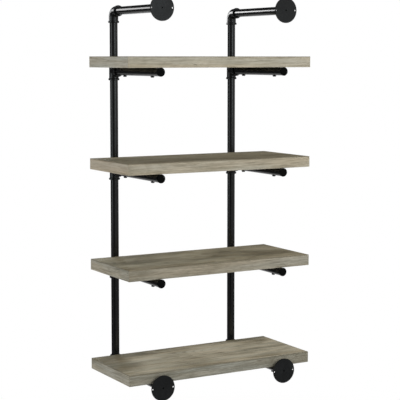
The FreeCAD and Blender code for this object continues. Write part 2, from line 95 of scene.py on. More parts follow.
@dataclass(frozen=True)
class Wire:
    """An output socket of a node tree, with Python's arithmetic on it."""

    graph: "Graph"
    socket: bpy.types.NodeSocket

    def __add__(self, other: Value) -> "Wire":
        """Add a value to the wire."""
        return self.graph.math("ADD", self, other)

    def __radd__(self, other: Value) -> "Wire":
        """Add the wire to a value."""
        return self.graph.math("ADD", other, self)

    def __sub__(self, other: Value) -> "Wire":
        """Take a value from the wire."""
        return self.graph.math("SUBTRACT", self, other)

    def __rsub__(self, other: Value) -> "Wire":
        """Take the wire from a value."""
        return self.graph.math("SUBTRACT", other, self)

    def __mul__(self, other: Value) -> "Wire":
        """Multiply the wire by a value."""
        return self.graph.math("MULTIPLY", self, other)

    def __rmul__(self, other: Value) -> "Wire":
        """Multiply a value by the wire."""
        return self.graph.math("MULTIPLY", other, self)

    def swing(self, reach: float) -> "Wire":
        """Turn a number around a half into one around zero, scaled by the reach."""
        return (self - HALF) * reach

    def sister(self, name: str) -> "Wire":
        """Give another output of the wire's own node by its name."""
        return Wire(self.graph, self.socket.node.outputs[name])

    def dot(self, way: Triple) -> "Wire":
        """Work out the dot product with a vector."""
        return self.graph.vector_math("DOT_PRODUCT", self, way, 1)

    def axis(self, name: str) -> "Wire":
        """Take one axis of a vector by its name, X, Y or Z."""
        return self.graph.add("ShaderNodeSeparateXYZ", None, {0: self}, name)

    def bump(self, strength: float = 1.0) -> "Wire":
        """Turn a height in metres into a normal."""
        values = {"Strength": strength, "Distance": 1.0, "Height": self}
        return self.graph.add("ShaderNodeBump", None, values)

    def ramp(self, low: float, high: float, start: float = 0.0, end: float = 1.0) -> "Wire":
        """Turn a range of a number into a smooth step.

        Args:
            low: where the step starts.
            high: where it ends.
            start: the result below low.
            end: the result above high.

        Returns:
            A number between start and end.
        """
        settings = {"interpolation_type": "SMOOTHSTEP", "clamp": True}
        values = {"Value": self, "From Min": low, "From Max": high, "To Min": start, "To Max": end}
        return self.graph.add("ShaderNodeMapRange", settings, values)


class Graph:
    """A node tree that is built from expressions, for shaders and Geometry Nodes alike."""

    def __init__(self, tree: bpy.types.NodeTree) -> None:
        """Start with an empty tree."""
        self.tree = tree
        tree.nodes.clear()

    def put(self, socket: bpy.types.NodeSocket, value: Value) -> None:
        """Link a wire to an input, or write a plain value on it.

        Args:
            socket: the input.
            value: a wire, or what the input's default becomes.
        """
        if isinstance(value, Wire):
            self.tree.links.new(value.socket, socket)
        elif socket.type == "RGBA" and len(value) == 3:
            socket.default_value = (*value, 1.0)
        else:
            socket.default_value = value

    def add(
        self,
        kind: str,
        settings: Optional[Mapping[str, object]] = None,
        values: Optional[Mapping[Union[int, str], Value]] = None,
        out: Union[int, str] = 0,
    ) -> Wire:
        """Make any node.

        Args:
            kind: the node's type.
            settings: its own settings, which are set first.
            values: what its inputs get, by name or number.
            out: the output that is wanted.

        Returns:
            The wire that leaves the node.
        """
        node = self.tree.nodes.new(kind)
        for name, setting in (settings or {}).items():
            setattr(node, name, setting)
        for name, value in (values or {}).items():
            self.put(node.inputs[name], value)
        return Wire(self, node.outputs[out])

    def end(self, kind: str, result: Wire) -> None:
        """Link the result to the tree's output node, which is of that kind."""
        self.put(self.tree.nodes.new(kind).inputs[0], result)

    def math(self, operation: str, first: Value, second: Value = 0.0, clamp: bool = False) -> Wire:
        """Work out one step of arithmetic, held between 0 and 1 if clamp is set."""
        settings = {"operation": operation, "use_clamp": clamp}
        return self.add("ShaderNodeMath", settings, {0: first, 1: second})

    def vector_math(self, operation: str, first: Value, second: Value = ZERO, out: int = 0) -> Wire:
        """Work out one step of vector arithmetic, where output 0 is a vector and output 1 a number."""
        return self.add("ShaderNodeVectorMath", {"operation": operation}, {0: first, 1: second}, out)

    def vector(self, x: Value = 0.0, y: Value = 0.0, z: Value = 0.0) -> Wire:
        """Join three numbers into a vector."""
        return self.add("ShaderNodeCombineXYZ", None, {"X": x, "Y": y, "Z": z})

    def mix(self, share: Value, first: Value, second: Value, blend: str = "MIX") -> Wire:
        """Mix a share of the second colour, or of the product of both, into the first."""
        settings = {"data_type": "RGBA", "blend_type": blend, "clamp_factor": True}
        return self.add("ShaderNodeMix", settings, {0: share, 6: first, 7: second}, 2)


@dataclass(frozen=True)
class Noise:
    """A soft noise, stretched to some cycles a metre on each axis."""

    scale: Triple
    shift: Triple = ZERO
    detail: float = 2.0
    roughness: float = 0.5
    distortion: float = 0.0
    step: Optional[Pair] = None

    def draw(self, point: Wire) -> Wire:
        """Draw the noise.

        Args:
            point: the point in metres.

        Returns:
            A number around a half, or from 0 to 1 over the noise's step if it has one.
        """
        graph = point.graph
        place = graph.vector_math("ADD", graph.vector_math("MULTIPLY", point, self.scale), self.shift)
        noise = graph.add("ShaderNodeTexNoise", {"noise_dimensions": "3D"}, {
            "Vector": place, "Scale": 1.0, "Detail": self.detail, "Roughness": self.roughness,
            "Distortion": self.distortion,
        })
        return noise if self.step is None else noise.ramp(*self.step)


# Finishes


@dataclass(frozen=True)
class Finish:
    """A finish of the object, carried by one Principled shader."""

    name: str

    def paint(self, point: Wire) -> Dict[str, Value]:
        """Work out what the shader's inputs get, which each kind does in its own way."""
        raise NotImplementedError

    def build(self) -> bpy.types.Material:
        """Build the material.

        Returns:
            The finish as a material.
        """
        material = bpy.data.materials.new(self.name)
        material.use_nodes = True
        graph = Graph(material.node_tree)
        point = graph.add("ShaderNodeTexCoord", out="Object")
        shader = graph.add("ShaderNodeBsdfPrincipled", None, self.paint(point))
        graph.end("ShaderNodeOutputMaterial", shader)
        return material


@dataclass(frozen=True)
class Lacquer(Finish):
    """Black lacquer on metal, with its slight orange peel, its grit and its duller patches."""

    color: Triple
    worn_color: Triple
    roughness: float
    roughness_drift: float
    peel_size: float
    peel_depth: float
    grit_size: float
    grit_depth: float
    metallic: float = 0.0
    specular: float = 0.5
    grit_shift: Triple = (7.0, 3.0, 5.0)
    haze: Noise = Noise((9.0, 9.0, 14.0), (1.3, 4.1, 2.2), 3.0, 0.55)
    smear: Noise = Noise((60.0, 60.0, 22.0), (5.0, 1.0, 9.0), 3.0, 0.6)
    haze_share: float = 0.6
    smear_share: float = 0.8
    wear_step: Pair = (0.46, 0.66)
    wear_share: float = 0.7
    fleck_step: Pair = (0.62, 0.74)
    fleck_roughness: float = 0.06
    least_roughness: float = 0.08

    def paint(self, point: Wire) -> Dict[str, Value]:
        """Work out the lacquer.

        Args:
            point: the point in metres.

        Returns:
            What the shader's inputs get.
        """
        graph = point.graph
        peel = Noise((1 / self.peel_size,) * 3).draw(point)
        grit = Noise((1 / self.grit_size,) * 3, self.grit_shift, 3.0, 0.6).draw(point)
        haze = self.haze.draw(point)
        smear = self.smear.draw(point)
        wear = (haze * self.haze_share + smear * (1 - self.haze_share)).ramp(*self.wear_step)
        fleck = grit.ramp(*self.fleck_step)
        worn = wear * self.wear_share + fleck * (1 - self.wear_share)
        sheen = self.roughness + haze.swing(self.roughness_drift)
        sheen = sheen + smear.swing(self.roughness_drift) * self.smear_share
        return {
            "Base Color": graph.mix(worn, self.color, self.worn_color),
            "Roughness": graph.math("MAXIMUM", sheen + fleck * self.fleck_roughness, self.least_roughness),
            "Metallic": self.metallic,
            "Specular IOR Level": self.specular,
            "Normal": (peel * self.peel_depth + grit * self.grit_depth).bump(),
        }


@dataclass(frozen=True)
class MouldedPlastic(Finish):
    """Black moulded plastic with a fine eroded surface and soft marks of its flow."""

    color: Triple
    light_color: Triple
    roughness: float
    texture_size: float
    texture_depth: float
    specular: float = 0.05
    texture_roughness: float = 0.12
    flow: Noise = Noise((45.0, 20.0, 45.0), (2.0, 6.0, 1.0), 2.0, 0.5, 0.6)
    flow_step: Pair = (0.4, 0.7)
    flow_roughness: float = 0.2

    def paint(self, point: Wire) -> Dict[str, Value]:
        """Work out the plastic.

        Args:
            point: the point in metres.

        Returns:
            What the shader's inputs get.
        """
        graph = point.graph
        texture = Noise((1 / self.texture_size,) * 3, roughness=0.6).draw(point)
        flow = self.flow.draw(point)
        rough = self.roughness + flow.swing(self.flow_roughness)
        return {
            "Base Color": graph.mix(flow.ramp(*self.flow_step), self.color, self.light_color),
            "Roughness": rough + texture.swing(self.texture_roughness),
            "Specular IOR Level": self.specular,
            "Normal": (texture * self.texture_depth).bump(),
        }


@dataclass(frozen=True)
class Plating(Finish):
    """Zinc plating with a fine turned lay and a faint bloom."""

    color: Triple
    bloom_color: Triple
    roughness: float
    lay: Noise = Noise((150.0, 150.0, 5200.0))
    lay_roughness: float = 0.15
    lay_depth: float = 0.00003
    bloom: Noise = Noise((320.0, 320.0, 320.0), (4.0, 2.0, 8.0), 3.0, 0.6, step=(0.42, 0.68))
    bloom_roughness: float = 0.16

    def paint(self, point: Wire) -> Dict[str, Value]:
        """Work out the plating.

        Args:
            point: the point in metres.

        Returns:
            What the shader's inputs get.
        """
        graph = point.graph
        lay = self.lay.draw(point)
        bloom = self.bloom.draw(point)
        return {
            "Base Color": graph.mix(bloom, self.color, self.bloom_color),
            "Metallic": 1.0,
            "Roughness": self.roughness + bloom * self.bloom_roughness + lay.swing(self.lay_roughness),
            "Normal": (lay * self.lay_depth).bump(),
        }


@dataclass(frozen=True)
class Layer:
    """One layer of a printed grain, in cycles a metre; a flipped one reads the seed backwards."""

    along: float
    across: float
    detail: float = 2.0
    roughness: float = 0.5
    step: Optional[Pair] = None
    flipped: bool = False


FACE_STREAKS = Layer(7.0, 90.0, 4.0, 0.66)
EDGE_STREAKS = Layer(7.0, 190.0, 4.0, 0.66)
END_STREAKS = Layer(7.0, 150.0, 4.0, 0.66)


@dataclass(frozen=True)
class Driftwood(Finish):
    """Grey driftwood laminate: bands, streaks, year rings, fine fibres and pores, and a few dark checks."""

    grain: Grain
    seed: Triple
    cast: Triple
    tone: float
    band_share: float
    blotch_share: float
    streak_share: float
    thread_share: float
    pale: Triple = (0.400, 0.360, 0.280)
    middle: Triple = (0.265, 0.234, 0.172)
    dark: Triple = (0.130, 0.112, 0.074)
    check: Triple = (0.060, 0.050, 0.032)
    cool: Triple = (0.96, 1.00, 1.05)
    warm: Triple = (1.03, 1.00, 0.97)
    # painted light: a linear slope of the tone across the board, brighter toward the lamps
    light_falloff: Triple = ZERO
    center: Triple = ZERO
    cloud_share: float = 0.0
    fibre_share: float = 0.26
    pore_share: float = 0.30
    ring_share: float = 0.12
    check_share: float = 0.75
    wander: Layer = Layer(4.5, 14.0)
    wander_reach: float = 0.011
    wander_rise: float = 0.7
    bands: Layer = Layer(1.7, 15.0)
    blotches: Layer = Layer(13.0, 38.0, 3.0, 0.6)
    clouds: Layer = Layer(5.0, 15.0, flipped=True)
    hues: Layer = Layer(3.2, 42.0, step=(0.3, 0.7), flipped=True)
    streaks: Layer = FACE_STREAKS
    threads: Layer = Layer(10.0, 400.0, 3.0, 0.6, (0.34, 0.66))
    fibres: Layer = Layer(55.0, 1500.0, step=(0.3, 0.7))
    pores: Layer = Layer(34.0, 1250.0, step=(0.56, 0.70))
    checks: Layer = Layer(12.0, 125.0, 3.0, 0.6, (0.66, 0.73))
    check_threads: Pair = (0.38, 0.56)
    ring_swell: Layer = Layer(1.1, 7.5, 1.0, 0.45, flipped=True)
    ring_wobble: Layer = Layer(30.0, 240.0, 2.0, 0.6)
    ring_wobble_share: float = 0.22
    ring_fade: Layer = Layer(6.0, 30.0, flipped=True)
    ring_fade_step: Quad = (0.32, 0.62, 0.15, 1.0)
    ring_count: float = 38.0
    late_wood: Triple = (0.35, 0.92, 1.0)
    seam_reach: Optional[Triple] = None
    seam_step: Pair = (0.0001, 0.0004)
    seam_share: float = 0.45
    top_arris: Optional[float] = None
    arris_step: Pair = (-0.0032, -0.0012)
    arris_share: float = 0.70
    roughness: float = 0.60
    streak_roughness: float = 0.22
    fibre_roughness: float = 0.06
    check_roughness: float = 0.12
    specular: float = 0.32
    relief: float = 0.9
    thread_depth: float = 0.00003
    fibre_depth: float = 0.00002
    pore_depth: float = 0.00005
    check_depth: float = 0.00020
    ring_depth: float = 0.00004
    seam_depth: float = 0.00012

    def draw(self, point: Wire, layer: Layer) -> Wire:
        """Draw one layer of the print.

        Args:
            point: the point in metres.
            layer: what is drawn.

        Returns:
            The layer's noise, or its step.
        """
        scale = (layer.along, layer.across, layer.across)
        if self.grain is Grain.ALONG_Y:
            scale = (layer.across, layer.along, layer.across)
        seed = self.seed[::-1] if layer.flipped else self.seed
        return Noise(scale, seed, layer.detail, layer.roughness, step=layer.step).draw(point)

    def waved(self, point: Wire) -> Wire:
        """Bend the point sideways, so that the streaks wander as grain does.

        Args:
            point: the point in metres.

        Returns:
            The bent point.
        """
        graph = point.graph
        wave = self.draw(point, self.wander).swing(self.wander_reach)
        rise = wave * self.wander_rise
        along_x = self.grain is Grain.ALONG_X
        sideways = graph.vector(y=wave, z=rise) if along_x else graph.vector(x=wave, z=rise)
        return graph.vector_math("ADD", point, sideways)

    def rings(self, bent: Wire) -> Wire:
        """Draw the year rings, which a plain sawn face shows as long nested arches.

        Args:
            bent: the bent point.

        Returns:
            1 on the dark late wood of each ring, falling off to 0 over its early wood.
        """
        swell = self.draw(bent, self.ring_swell) * self.ring_count
        age = bent.graph.math("FRACT", swell + self.draw(bent, self.ring_wobble) * self.ring_wobble_share)
        start, full, end = self.late_wood
        late = age.ramp(start, full) * age.ramp(full, end, 1.0, 0.0)
        return late * self.draw(bent, self.ring_fade).ramp(*self.ring_fade_step)

    def seam(self, point: Wire) -> Wire:
        """Draw the glue line that runs just inside the rim of a face.

        Args:
            point: the point in metres.

        Returns:
            1 on the line and 0 beside it.
        """
        graph = point.graph
        offset = graph.vector_math("ABSOLUTE", graph.vector_math("SUBTRACT", point, self.center))
        beyond = graph.vector_math("SUBTRACT", offset, self.seam_reach).axis("X")
        rim = graph.math("MAXIMUM", beyond, beyond.sister("Y"))
        return 1 - graph.math("ABSOLUTE", rim).ramp(*self.seam_step)

    def paint(self, point: Wire) -> Dict[str, Value]:
        """Work out the laminate.

        Args:
            point: the point in metres.

        Returns:
            What the shader's inputs get.
        """
        graph = point.graph
        bent = self.waved(point)
        bands = self.draw(bent, self.bands)
        streaks = self.draw(bent, self.streaks)
        threads = self.draw(bent, self.threads)
        fibres = self.draw(bent, self.fibres)
        pores = self.draw(bent, self.pores)
        rings = self.rings(bent)
        # painted light falloff: the tone rises linearly toward -X, and on the bottom board's top toward +Y
        # too
        drift = graph.vector_math("SUBTRACT", point, self.center).dot(self.light_falloff)
        tone = self.tone + drift + bands.swing(self.band_share)
        tone = tone + self.draw(point, self.blotches).swing(self.blotch_share)
        tone = tone + self.draw(point, self.clouds).swing(self.cloud_share)
        tone = tone + streaks.swing(self.streak_share) + threads.swing(self.thread_share)
        tone = tone + fibres.swing(self.fibre_share) - pores * self.pore_share - rings * self.ring_share
        low = graph.mix(graph.math("MULTIPLY", tone, 2.0, True), self.dark, self.middle)
        color = graph.mix(graph.math("MULTIPLY", tone - HALF, 2.0, True), low, self.pale)
        hue = graph.mix(self.draw(bent, self.hues), self.cool, self.warm)
        color = graph.mix(1.0, graph.mix(1.0, color, hue, "MULTIPLY"), self.cast, "MULTIPLY")
        crack = self.draw(bent, self.checks) * threads.ramp(*self.check_threads)
        color = graph.mix(crack * self.check_share, color, self.check)
        height = threads * self.thread_depth + fibres * self.fibre_depth - pores * self.pore_depth
        height = height - crack * self.check_depth - rings * self.ring_depth
        if self.top_arris is not None:
            arris = (point.axis("Z") - self.top_arris).ramp(*self.arris_step)
            color = graph.mix(arris * self.arris_share, color, self.dark)
        if self.seam_reach is not None:
            seam = self.seam(point)
            color = graph.mix(seam * self.seam_share, color, self.check)
            height = height - seam * self.seam_depth
        rough = self.roughness + streaks.swing(self.streak_roughness) + fibres.swing(self.fibre_roughness)
        return {
            "Base Color": color,
            "Roughness": rough + crack * self.check_roughness,
            "Specular IOR Level": self.specular,
            "Normal": height.bump(self.relief),
        }


LACQUERED_PIPE = Lacquer(
    "lacquered_pipe", color=(0.0030, 0.0032, 0.0034), worn_color=(0.0055, 0.0058, 0.0060),
    roughness=0.17, roughness_drift=0.08,
    peel_size=0.0120, peel_depth=0.000003, grit_size=0.0030, grit_depth=0.0000003,
)
LACQUERED_CASTING = Lacquer(
    "lacquered_casting", color=(0.0038, 0.0040, 0.0042), worn_color=(0.0085, 0.0085, 0.0085),
    roughness=0.22, roughness_drift=0.14,
    peel_size=0.0060, peel_depth=0.00004, grit_size=0.0016, grit_depth=0.000006,
)
LACQUERED_FLANGE = Lacquer(
    "lacquered_flange", color=(0.0036, 0.0041, 0.0043), worn_color=(0.0066, 0.0074, 0.0077),
    roughness=0.30, roughness_drift=0.12, specular=0.4,
    peel_size=0.0060, peel_depth=0.000008, grit_size=0.0014, grit_depth=0.000002,
)
BLACK_OXIDE = Lacquer(
    "black_oxide", color=(0.020, 0.020, 0.022), worn_color=(0.045, 0.044, 0.042),
    roughness=0.34, roughness_drift=0.22, metallic=0.7,
    peel_size=0.0020, peel_depth=0.00001, grit_size=0.0005, grit_depth=0.00001,
)
PLUG_PLASTIC = MouldedPlastic(
    "plug_plastic", color=(0.0012, 0.0013, 0.0012), light_color=(0.0024, 0.0026, 0.0024),
    roughness=0.5, texture_size=0.0005, texture_depth=0.00003,
)
ZINC = Plating("zinc_plating", color=(0.58, 0.59, 0.61), bloom_color=(0.44, 0.44, 0.45), roughness=0.28)


# Geometry Nodes


class Recipe:
    """A Geometry Nodes tree with named inputs, baked into plain meshes."""

    def __init__(self, name: str) -> None:
        """Start the tree.

        Args:
            name: the tree's name.
        """
        self.tree = bpy.data.node_groups.new(name, "GeometryNodeTree")
        self.graph = Graph(self.tree)
        for way in ("OUTPUT", "INPUT"):
            self.tree.interface.new_socket("Geometry", in_out=way, socket_type="NodeSocketGeometry")
        self.source = self.graph.add("NodeGroupInput")
        self.idents: Dict[str, str] = {}

    def input(self, name: str, kind: str = "NodeSocketFloat") -> Wire:
        """Declare a named input.

        Args:
            name: what the input is called.
            kind: its socket type.

        Returns:
            The input as a wire.
        """
        item = self.tree.interface.new_socket(name, in_out="INPUT", socket_type=kind)
        self.idents[name] = item.identifier
        return self.source.sister(name)

    def finish(self, geometry: Wire) -> None:
        """End the tree in its output."""
        self.graph.end("NodeGroupOutput", geometry)

    def bake(
        self, name: str, start: bpy.types.Mesh, values: Mapping[str, object], place: Matrix
    ) -> bpy.types.Object:
        """Run the tree on a mesh and keep the result as a plain mesh.

        Args:
            name: the finished piece's name.
            start: the mesh that enters the tree.
            values: what the named inputs get.
            place: where the result is put.

        Returns:
            The finished piece, at the origin.
        """
        carrier = bpy.data.objects.new(name + "_carrier", start)
        bpy.context.scene.collection.objects.link(carrier)
        modifier = carrier.modifiers.new("recipe", "NODES")
        modifier.node_group = self.tree
        for key, value in values.items():
            modifier[self.idents[key]] = value
        depsgraph = bpy.context.evaluated_depsgraph_get()
        mesh = bpy.data.meshes.new_from_object(carrier.evaluated_get(depsgraph), depsgraph=depsgraph)
        carrier.modifiers.remove(modifier)
        bpy.data.objects.remove(carrier)
        mesh.transform(place)
        return as_piece(name, mesh)


def as_piece(name: str, mesh: bpy.types.Mesh, crease: float = 32.0) -> bpy.types.Object:
    """Make an object at the origin of a mesh, smooth but for its creases.

    Args:
        name: the piece's name.
        mesh: its mesh, already in place.
        crease: the angle in degrees past which an edge stays sharp.

    Returns:
        The object.
    """
    mesh.name = name
    mesh.shade_smooth()
    mesh.set_sharp_from_angle(angle=math.radians(crease))
    piece = bpy.data.objects.new(name, mesh)
    bpy.context.scene.collection.objects.link(piece)
    return piece


def on_bolt_places(pitch_x: Wire, pitch_y: Wire, shape: Wire, turn: Value = ZERO) -> Wire:
    """Stand a shape at the four bolt places of a board, which are the corners of a grid.

    Args:
        pitch_x: the spacing along the board.
        pitch_y: the spacing across it.
        shape: what stands at each place.
        turn: its turn about each axis in radians.

    Returns:
        The four shapes, as real geometry.
    """
    graph = shape.graph
    sizes = {"Size X": pitch_x, "Size Y": pitch_y, "Vertices X": 2, "Vertices Y": 2}
    points = graph.add("GeometryNodeMeshGrid", None, sizes, "Mesh")
    values = {"Points": points, "Instance": shape, "Rotation": turn}
    placed = graph.add("GeometryNodeInstanceOnPoints", None, values)
    return graph.add("GeometryNodeRealizeInstances", None, {"Geometry": placed})


def set_material(geometry: Wire, material: Wire) -> Wire:
    """Give a material to a geometry."""
    values = {"Geometry": geometry, "Material": material}
    return geometry.graph.add("GeometryNodeSetMaterial", None, values)


def join(parts: Sequence[Wire]) -> Wire:
    """Join geometries into one.

    Args:
        parts: what is joined.

    Returns:
        The joined geometry.
    """
    joined = parts[0].graph.add("GeometryNodeJoinGeometry")
    for part in parts:
        joined.graph.put(joined.socket.node.inputs[0], part)
    return joined


def moved(geometry: Wire, x: Value = 0.0, y: Value = 0.0, z: Value = 0.0, turn: Triple = ZERO) -> Wire:
    """Move a geometry, after a turn about each axis in radians."""
    values = {"Geometry": geometry, "Translation": geometry.graph.vector(x, y, z), "Rotation": turn}
    return geometry.graph.add("GeometryNodeTransform", None, values)


# Boards


@dataclass(frozen=True)
class BoardLook:
    """What differs between the boards: where their print was cut, and its tones and casts. Besides each
    board's own print tone, the edge tones hold painted shade, darker on each lower board, and the edges and
    ends of the same band get different tones as painted light; the slopes paint a light falloff along each
    board.
    """

    seed: Triple
    face_tone: float
    # painted shade: lower boards get darker edge tones, over their own print tone
    edge_tone: float
    end_tone: float
    edge_streaks: float
    band_share: float
    cloud_share: float
    # painted light falloff along each board's top and edges, brighter toward -X
    face_light_falloff: Triple = ZERO
    edge_light_falloff: Triple = ZERO
    face_cast: Triple = (1.0, 0.975, 0.865)
    edge_cast: Triple = WHITE
    end_cast: Triple = (1.0, 1.035, 1.09)


# Edge tones fall from board 1 at the top to board 4 at the bottom: painted shade where the light falls off
# downward, over each board's own print tone.
BOARD_LOOKS: Tuple[BoardLook, ...] = (
    BoardLook(
        (3.1, 7.7, 1.9), face_tone=0.56, edge_tone=0.67, end_tone=0.85, edge_streaks=0.9,
        band_share=1.2, cloud_share=1.2, edge_light_falloff=(-0.12, 0.0, 0.0),
    ),
    BoardLook(
        (11.4, 2.3, 6.1), face_tone=0.54, edge_tone=0.56, end_tone=0.92, edge_streaks=1.05,
        band_share=1.2, cloud_share=1.4, face_light_falloff=(-0.15, 0.0, 0.0), edge_light_falloff=(-0.30, 0.0, 0.0),
        end_cast=(1.0, 0.95, 0.92),
    ),
    BoardLook(
        (5.8, 15.2, 9.4), face_tone=0.51, edge_tone=0.375, end_tone=0.57, edge_streaks=0.75,
        band_share=1.4, cloud_share=1.8, face_light_falloff=(-0.35, 0.0, 0.0), edge_light_falloff=(-0.50, 0.0, 0.0),
        edge_cast=(1.0, 1.01, 1.04),
    ),
    BoardLook(
        (8.6, 4.9, 13.7), face_tone=0.53, edge_tone=0.14, end_tone=0.56, edge_streaks=0.95,
        band_share=1.8, cloud_share=2.2, face_light_falloff=(-0.6, 1.2, 0.0),
        face_cast=(1.30, 1.29, 1.23), edge_cast=(1.0, 1.07, 1.18),
    ),
)


BOARD_COUNT = len(BOARD_LOOKS)
BOLT_PITCH: Pair = (0.412, 0.175)


@dataclass
class Boards:
    """Four boards with laminate faces, edge bands glued round them and holes for the inserts."""

    band: float = 0.0012
    arris: float = 0.00055
    arris_steps: int = 4
    bolt_pitch: Pair = BOLT_PITCH
    bolt_center_y: float = -0.1485
    hole_radius: float = 0.0051
    hole_depth: float = 0.0134
    hole_sides: int = 32
    lip_radius: float = 0.0066
    lip_depth: float = 0.0012
    thread_contrast: float = 0.28

    def strip(self, length: Wire, sizes: Mapping[str, Wire]) -> Wire:
        """Draw one edge band as a rounded section along a line.

        Args:
            length: how long the band is.
            sizes: the tree's named inputs.

        Returns:
            The band, centred, along the first axis.
        """
        graph = length.graph
        half = length * HALF
        ends = {"Start": graph.vector(half * -1), "End": graph.vector(half)}
        line = graph.add("GeometryNodeCurvePrimitiveLine", None, ends)
        outline = {"Width": sizes["Band"], "Height": sizes["Thickness"]}
        section = graph.add("GeometryNodeCurvePrimitiveQuadrilateral", None, outline)
        rounding = {"Curve": section, "Radius": sizes["Arris"], "Count": self.arris_steps}
        section = graph.add("GeometryNodeFilletCurve", {"mode": "POLY"}, rounding)
        values = {"Curve": line, "Profile Curve": section, "Fill Caps": True}
        return graph.add("GeometryNodeCurveToMesh", None, values)

    def cutters(self, sizes: Mapping[str, Wire]) -> List[Wire]:
        """Stand four stepped plugs under the board, which cut the holes for the inserts.

        Args:
            sizes: the tree's named inputs.

        Returns:
            The cutting bodies, the holes' and then their lips'.
        """
        bottom = sizes["Thickness"] * -HALF
        shapes = []
        for name in ("Hole", "Lip"):
            depth = sizes[name + " Depth"] * 2
            values = {"Vertices": self.hole_sides, "Radius": sizes[name + " Radius"], "Depth": depth}
            drum = bottom.graph.add("GeometryNodeMeshCylinder", None, values)
            solid = on_bolt_places(sizes["Bolt Pitch X"], sizes["Bolt Pitch Y"], drum)
            shapes.append(moved(solid, y=sizes["Bolt Shift Y"], z=bottom))
        return shapes

    def recipe(self) -> Recipe:
        """Write the tree of one board.

        Returns:
            The tree, with named inputs for its sizes and materials.
        """
        recipe = Recipe("edge_banded_board")
        graph = recipe.graph
        names = (
            "Width", "Depth", "Thickness", "Band", "Arris", "Bolt Pitch X", "Bolt Pitch Y",
            "Bolt Shift Y", "Hole Radius", "Hole Depth", "Lip Radius", "Lip Depth",
        )
        sizes = {name: recipe.input(name) for name in names}
        looks = {name: recipe.input(name, "NodeSocketMaterial") for name in ("Face", "Edge", "End")}
        inner_x = sizes["Width"] - sizes["Band"] * 2
        inner_y = sizes["Depth"] - sizes["Band"] * 2
        block = graph.vector(inner_x, inner_y, sizes["Thickness"])
        core = graph.add("GeometryNodeMeshCube", None, {"Size": block}, "Mesh")
        difference = {"operation": "DIFFERENCE", "solver": "EXACT"}
        for cutter in self.cutters(sizes):
            core = graph.add("GeometryNodeMeshBoolean", difference, {"Mesh 1": core, "Mesh 2": cutter})
        parts = [set_material(core, looks["Face"])]
        long_band = set_material(self.strip(sizes["Width"], sizes), looks["Edge"])
        end_band = set_material(self.strip(inner_y, sizes), looks["End"])
        offset_y = (sizes["Depth"] - sizes["Band"]) * HALF
        offset_x = (sizes["Width"] - sizes["Band"]) * HALF
        for way in (-1, 1):
            parts.append(moved(long_band, y=offset_y * way))
            parts.append(moved(end_band, x=offset_x * way, turn=(0.0, 0.0, math.pi / 2)))
        recipe.finish(graph.add("GeometryNodeRealizeInstances", None, {"Geometry": join(parts)}))
        return recipe

    def finishes(self, number: int, center: Vector, size: Vector) -> Dict[str, bpy.types.Material]:
        """Build the three laminates of one board.

        Args:
            number: which board.
            center: the middle of the board.
            size: its width, depth and thickness.

        Returns:
            The materials for its faces, long edges and ends.
        """
        look = BOARD_LOOKS[number - 1]
        seed = look.seed
        turned = (seed[1], seed[2], seed[0])
        middle, top = tuple(center), center.z + size.z / 2
        face = Driftwood(
            f"driftwood_face_{number}", Grain.ALONG_X, seed, cast=look.face_cast, center=middle,
            tone=look.face_tone, light_falloff=look.face_light_falloff, band_share=look.band_share,
            cloud_share=look.cloud_share, blotch_share=0.6, streak_share=1.3, thread_share=0.42,
            ring_share=0.34, seam_reach=(size.x / 2 - self.band, size.y / 2 - self.band, size.z),
        )
        edge = Driftwood(
            f"driftwood_edge_{number}", Grain.ALONG_X, turned, cast=look.edge_cast, center=middle,
            tone=look.edge_tone, light_falloff=look.edge_light_falloff, band_share=0.4, blotch_share=0.5,
            streaks=EDGE_STREAKS, streak_share=look.edge_streaks,
            thread_share=look.edge_streaks * self.thread_contrast, top_arris=top,
        )
        end = Driftwood(
            f"driftwood_end_{number}", Grain.ALONG_Y, turned[::-1], cast=look.end_cast,
            tone=look.end_tone, band_share=0.25, blotch_share=0.5, streaks=END_STREAKS,
            streak_share=1.15, thread_share=0.45, top_arris=top,
        )
        return {"Face": face.build(), "Edge": edge.build(), "End": end.build()}

    def build(self) -> None:
        """Build and dress the four boards."""
        recipe = self.recipe()
        for number in range(1, BOARD_COUNT + 1):
            node = f"shelf_board_{number}"
            low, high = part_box(node)
            center, size = (low + high) / 2, high - low
            values = {
                "Width": size.x, "Depth": size.y, "Thickness": size.z, "Band": self.band, "Arris": self.arris,
                "Bolt Pitch X": self.bolt_pitch[0], "Bolt Pitch Y": self.bolt_pitch[1],
                "Bolt Shift Y": self.bolt_center_y - center.y,
                "Hole Radius": self.hole_radius, "Hole Depth": self.hole_depth,
                "Lip Radius": self.lip_radius, "Lip Depth": self.lip_depth,
            }
            values.update(self.finishes(number, center, size))
            start = bpy.data.meshes.new(node + "_start")
            piece = recipe.bake(f"board_{number}", start, values, Matrix.Translation(center))
            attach(piece, "root")
            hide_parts(node)
            LOG.info("%s: %d faces", piece.name, len(piece.data.polygons))


# Bolts


